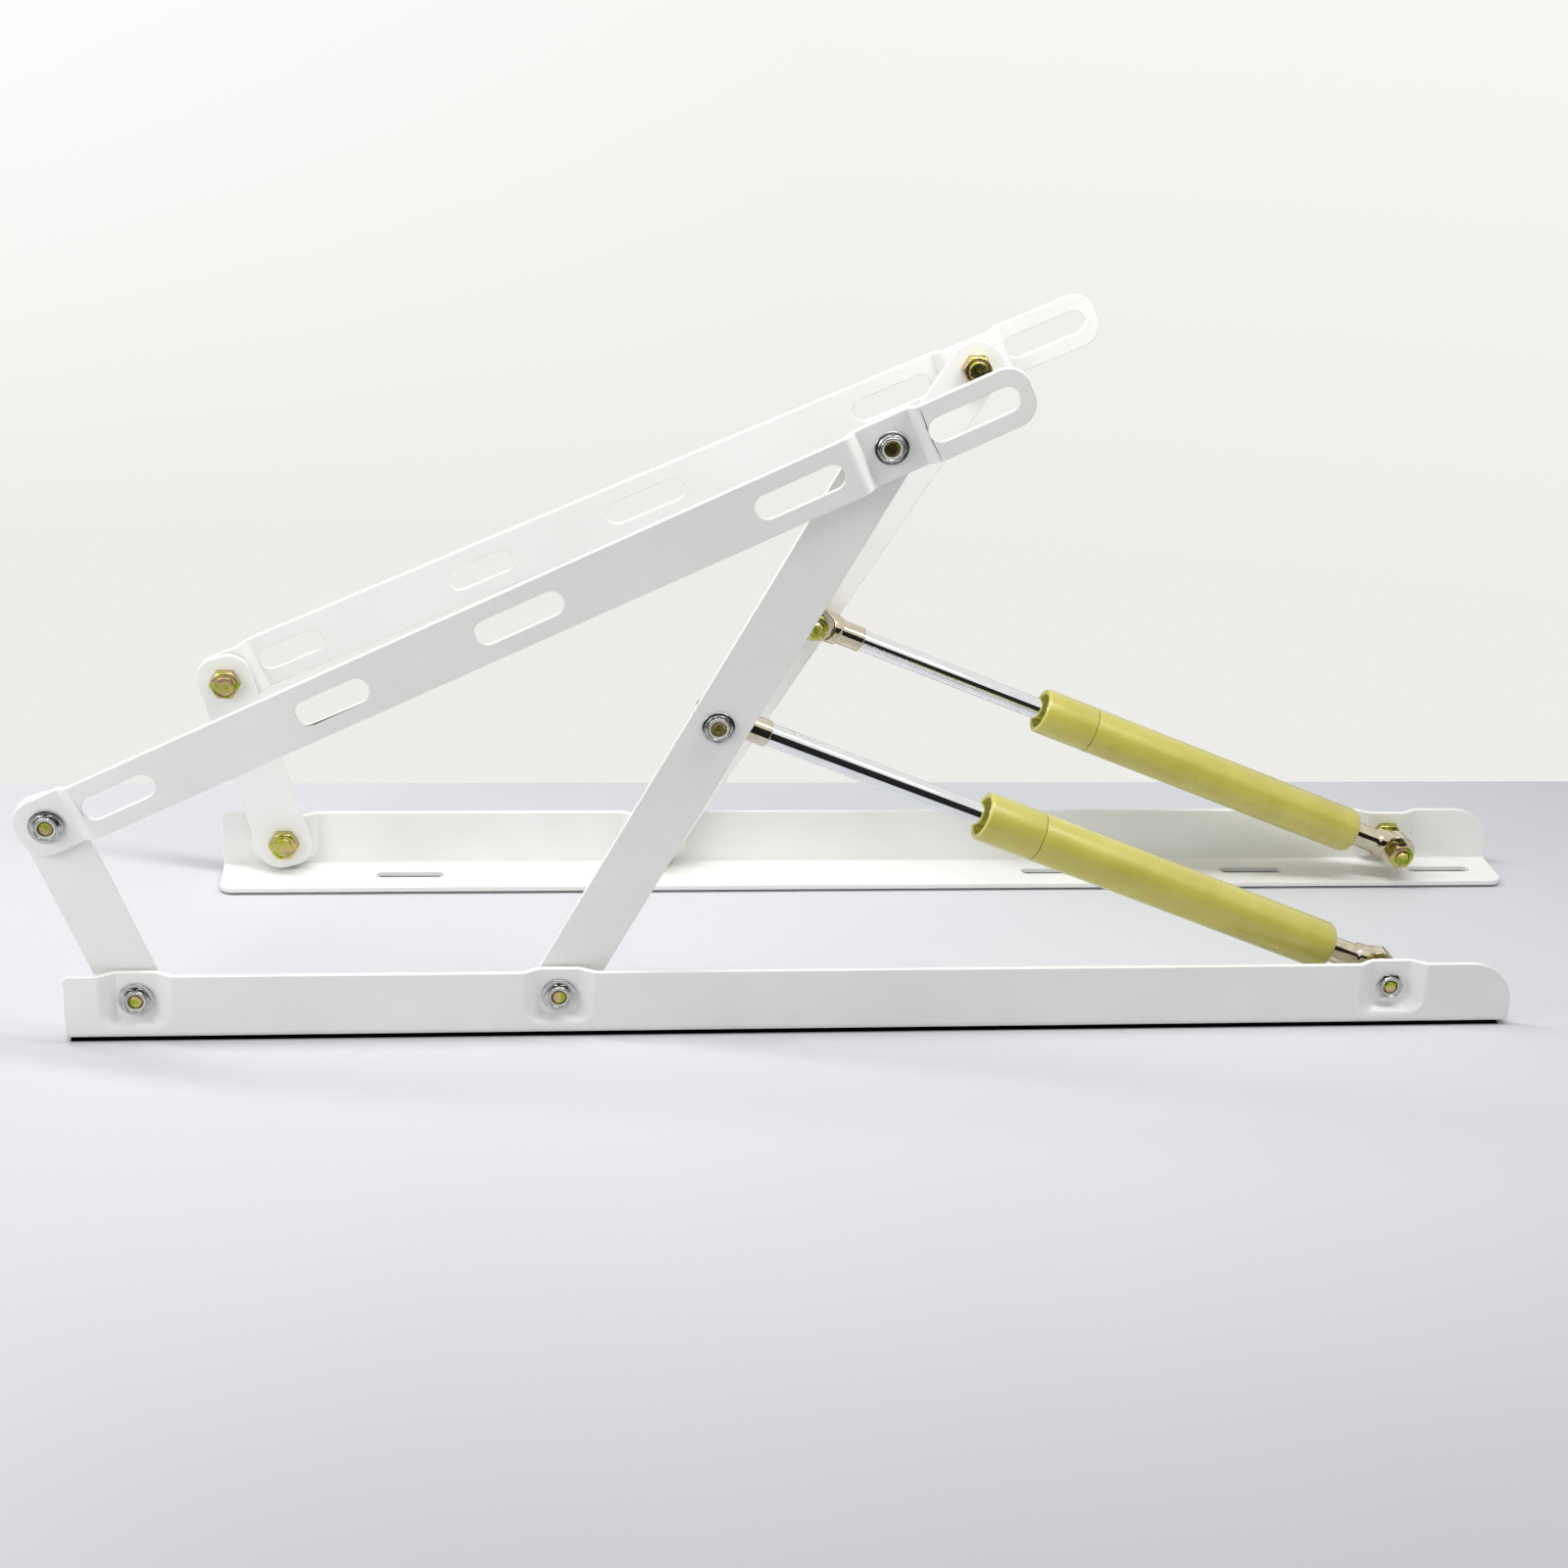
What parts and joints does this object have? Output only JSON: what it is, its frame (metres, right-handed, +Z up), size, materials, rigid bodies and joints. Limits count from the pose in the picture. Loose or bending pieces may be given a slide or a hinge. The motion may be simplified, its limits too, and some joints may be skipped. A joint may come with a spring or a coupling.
{
  "type": "bed lift mechanism",
  "caption": "Mirrored pair of four-bar bed lift hinges on slotted angle rails, with joggled top bars raised by gas springs.",
  "frame": {"origin": "on the underside of the near rail's flange, halfway across it and straight below the main arm's lower pivot", "axes": "+X along both rails towards the gas springs' lower pivots, +Y from the near rail to the far one, +Z up"},
  "size_m": [0.8295, 0.209, 0.3506],
  "materials": {
    "white_powder_coat": "satin powder coat",
    "lime_coat": "semi-gloss enamel",
    "bright_zinc": "bright zinc plate",
    "yellow_zinc": "yellow chromated zinc plate",
    "nickel_plate": "polished nickel plate",
    "hard_chrome": "ground hard chrome",
    "white_nylon": "moulded",
    "guide_bronze": "machined",
    "black_rubber": "moulded",
    "machined_aluminium": "machined"
  },
  "bodies": {
    "base_rails": {"near_base_rail": "white_powder_coat", "near_rail_pivot_bolts": "yellow_zinc", "near_rail_spacer_washers": "bright_zinc", "near_rail_seat_washers": "bright_zinc", "near_rail_lock_nuts": "bright_zinc", "near_rail_nut_inserts": "white_nylon", "near_rail_spring_stud": "yellow_zinc", "near_rail_stud_nut": "yellow_zinc", "far_base_rail": "white_powder_coat", "far_rail_pivot_bolts": "yellow_zinc", "far_rail_spacer_washers": "bright_zinc", "far_rail_seat_washers": "bright_zinc", "far_rail_lock_nuts": "bright_zinc", "far_rail_nut_inserts": "white_nylon", "far_rail_spring_stud": "yellow_zinc", "far_rail_stud_nut": "yellow_zinc"},
    "near_short_link": {"near_short_link": "white_powder_coat", "near_link_pivot_bolt": "yellow_zinc"},
    "near_main_arm": {"near_main_arm": "white_powder_coat", "near_arm_spring_stud": "yellow_zinc", "near_arm_lock_nut": "bright_zinc", "near_arm_nut_insert": "white_nylon"},
    "near_top_bar": {"near_top_bar": "white_powder_coat", "near_bar_pivot_bolt": "yellow_zinc", "near_bar_pivot_thread": "yellow_zinc", "near_bar_washers": "bright_zinc", "near_bar_lock_nuts": "bright_zinc", "near_bar_nut_inserts": "white_nylon"},
    "near_gas_cylinder": {"near_cylinder_tube": "lime_coat", "near_cylinder_collar": "lime_coat", "near_cylinder_eye": "nickel_plate", "near_rod_guide": "guide_bronze", "near_rod_seal": "black_rubber"},
    "near_gas_rod": {"near_piston_rod": "hard_chrome", "near_piston": "machined_aluminium", "near_rod_eye": "nickel_plate", "near_rod_eye_pin": "yellow_zinc", "near_rod_eye_nut": "yellow_zinc"},
    "far_short_link": {"far_short_link": "white_powder_coat", "far_link_pivot_bolt": "yellow_zinc"},
    "far_main_arm": {"far_main_arm": "white_powder_coat", "far_arm_spring_stud": "yellow_zinc", "far_arm_lock_nut": "bright_zinc", "far_arm_nut_insert": "white_nylon"},
    "far_top_bar": {"far_top_bar": "white_powder_coat", "far_bar_pivot_bolt": "yellow_zinc", "far_bar_pivot_thread": "yellow_zinc", "far_bar_washers": "bright_zinc", "far_bar_lock_nuts": "bright_zinc", "far_bar_nut_inserts": "white_nylon"},
    "far_gas_cylinder": {"far_cylinder_tube": "lime_coat", "far_cylinder_collar": "lime_coat", "far_cylinder_eye": "nickel_plate", "far_rod_guide": "guide_bronze", "far_rod_seal": "black_rubber"},
    "far_gas_rod": {"far_piston_rod": "hard_chrome", "far_piston": "machined_aluminium", "far_rod_eye": "nickel_plate", "far_rod_eye_pin": "yellow_zinc", "far_rod_eye_nut": "yellow_zinc"}
  },
  "joints": [
    {"name": "near_fold", "type": "hinge", "parent": "base_rails", "child": "near_main_arm", "pos_m": [0, -0.0067, 0.0205], "axis": [0, 1, 0], "range_deg": [0, 52.42], "stiffness_Nm_per_rad": 2, "springref_deg": -114.59},
    {"name": "near_link_swing", "type": "hinge", "parent": "base_rails", "child": "near_short_link", "pos_m": [-0.211, -0.0067, 0.0205], "axis": [0, 1, 0], "range_deg": [0, 79.93]},
    {"name": "near_bar_swing", "type": "hinge", "parent": "near_main_arm", "child": "near_top_bar", "pos_m": [0.15449, -0.0067, 0.30984], "axis": [0, 1, 0], "range_deg": [-26.68, 0]},
    {"name": "near_cylinder_swing", "type": "hinge", "parent": "base_rails", "child": "near_gas_cylinder", "pos_m": [0.438, 0.0105, 0.0205], "axis": [0, 1, 0], "range_deg": [-16.28, 0]},
    {"name": "near_rod_stroke", "type": "slide", "parent": "near_gas_cylinder", "child": "near_gas_rod", "axis": [0.9282, 0, -0.3722], "range_m": [0, 0.11118]},
    {"name": "far_fold", "type": "hinge", "parent": "base_rails", "child": "far_main_arm", "pos_m": [0.0605, 0.1777, 0.0205], "axis": [0, 1, 0], "range_deg": [0, 49.62], "stiffness_Nm_per_rad": 2, "springref_deg": -114.59},
    {"name": "far_link_swing", "type": "hinge", "parent": "base_rails", "child": "far_short_link", "pos_m": [-0.1505, 0.1777, 0.0205], "axis": [0, 1, 0], "range_deg": [0, 74.67]},
    {"name": "far_bar_swing", "type": "hinge", "parent": "far_main_arm", "child": "far_top_bar", "pos_m": [0.22894, 0.1777, 0.30195], "axis": [0, 1, 0], "range_deg": [-25.43, 0]},
    {"name": "far_cylinder_swing", "type": "hinge", "parent": "base_rails", "child": "far_gas_cylinder", "pos_m": [0.4985, 0.1605, 0.0205], "axis": [0, 1, 0], "range_deg": [-16.11, 0]},
    {"name": "far_rod_stroke", "type": "slide", "parent": "far_gas_cylinder", "child": "far_gas_rod", "axis": [0.9292, 0, -0.3696], "range_m": [0, 0.10323]}
  ],
  "couplings": [
    {"joint": "near_link_swing", "follows": "near_fold", "ratio": 1.5241},
    {"joint": "near_bar_swing", "follows": "near_fold", "ratio": -0.50865},
    {"joint": "near_cylinder_swing", "follows": "near_fold", "ratio": -0.31032},
    {"joint": "near_rod_stroke", "follows": "near_fold", "m_per_rad": 0.12146},
    {"joint": "far_link_swing", "follows": "far_fold", "ratio": 1.5041},
    {"joint": "far_bar_swing", "follows": "far_fold", "ratio": -0.51214},
    {"joint": "far_cylinder_swing", "follows": "far_fold", "ratio": -0.3246},
    {"joint": "far_rod_stroke", "follows": "far_fold", "m_per_rad": 0.11914}
  ]
}
